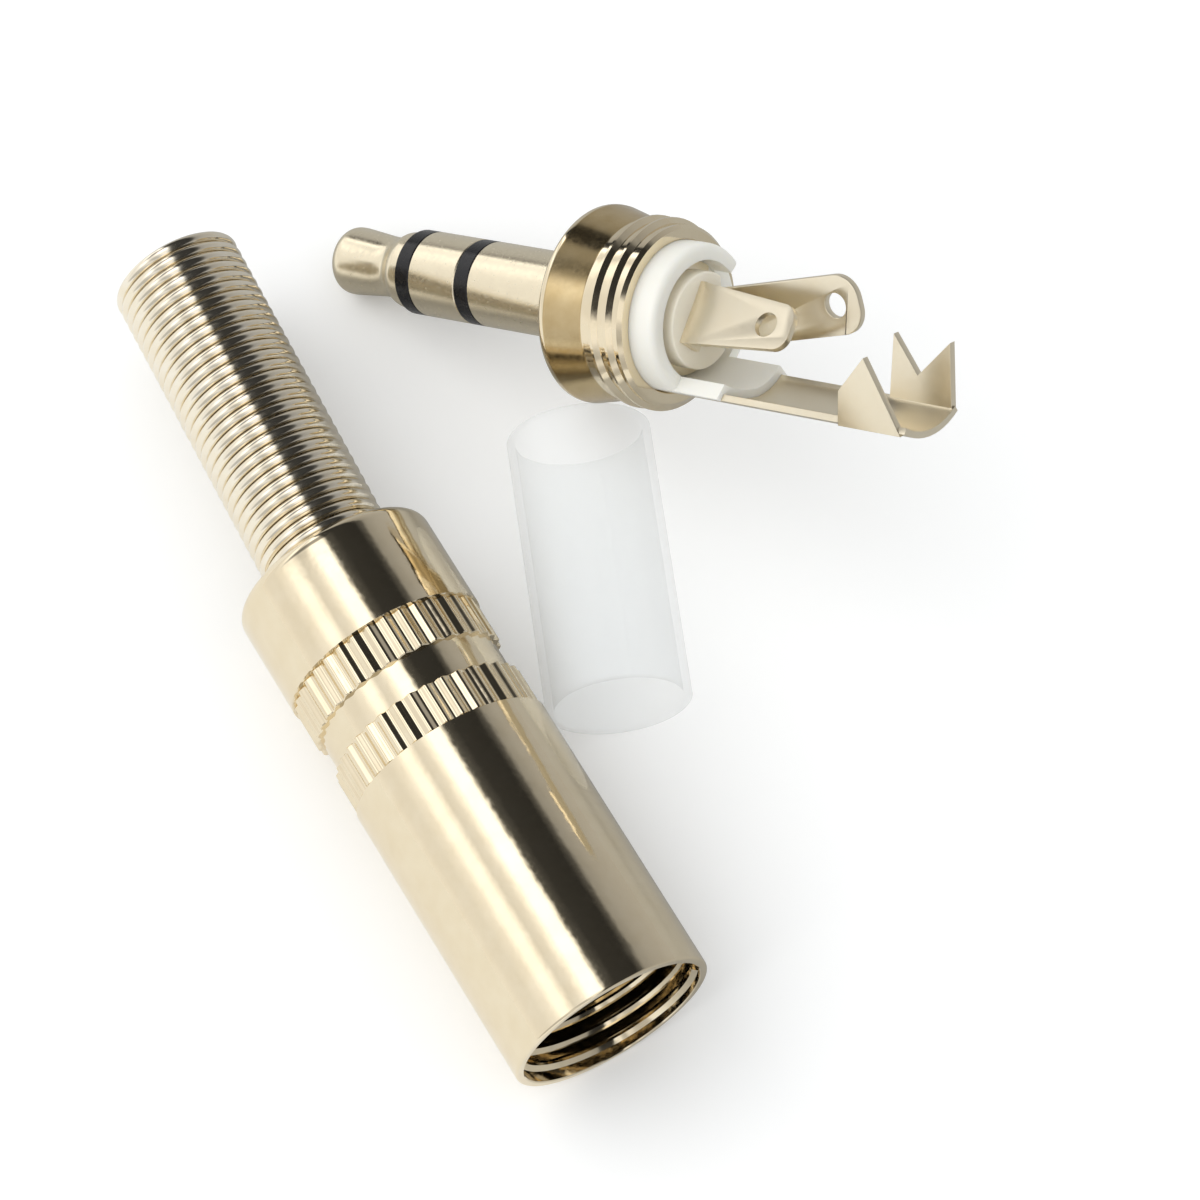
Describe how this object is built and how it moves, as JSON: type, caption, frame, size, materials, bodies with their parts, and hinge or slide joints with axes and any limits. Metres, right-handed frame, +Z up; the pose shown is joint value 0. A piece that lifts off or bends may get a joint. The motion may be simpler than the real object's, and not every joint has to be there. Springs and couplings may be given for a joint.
{
  "type": "stereo jack plug",
  "caption": "Taken-apart 3.5 mm stereo jack plug: threaded metal barrel with strain relief spring, clear insulating tube, and contact core with solder lugs and cable clamp.",
  "frame": {"origin": "centre of the whole layout's box, on the table", "axes": "+Z up from the table; +Y along the barrel from its mouth to the spring; +X to the right of the barrel seen from above with +Y away"},
  "size_m": [0.0274, 0.037, 0.0164],
  "materials": {
    "nickel_plated_brass": "bright nickel plate",
    "nickel_plated_steel": "bright nickel plate on spring steel",
    "black_plastic": "satin moulded",
    "white_plastic": "satin moulded",
    "cream_plastic": "satin moulded",
    "translucent_plastic": "translucent extruded"
  },
  "bodies": {
    "root": {"barrel": "nickel_plated_brass", "strain_relief_spring": "nickel_plated_steel", "insulating_tube": "translucent_plastic", "sleeve_body": "nickel_plated_brass", "sleeve_insulator": "black_plastic", "ring_contact": "nickel_plated_brass", "ring_insulator": "black_plastic", "tip_contact": "nickel_plated_brass", "ground_clamp": "nickel_plated_brass", "rear_insulator": "white_plastic", "ring_lug": "nickel_plated_brass", "lug_boss": "cream_plastic", "tip_lug": "nickel_plated_brass"}
  },
  "joints": []
}
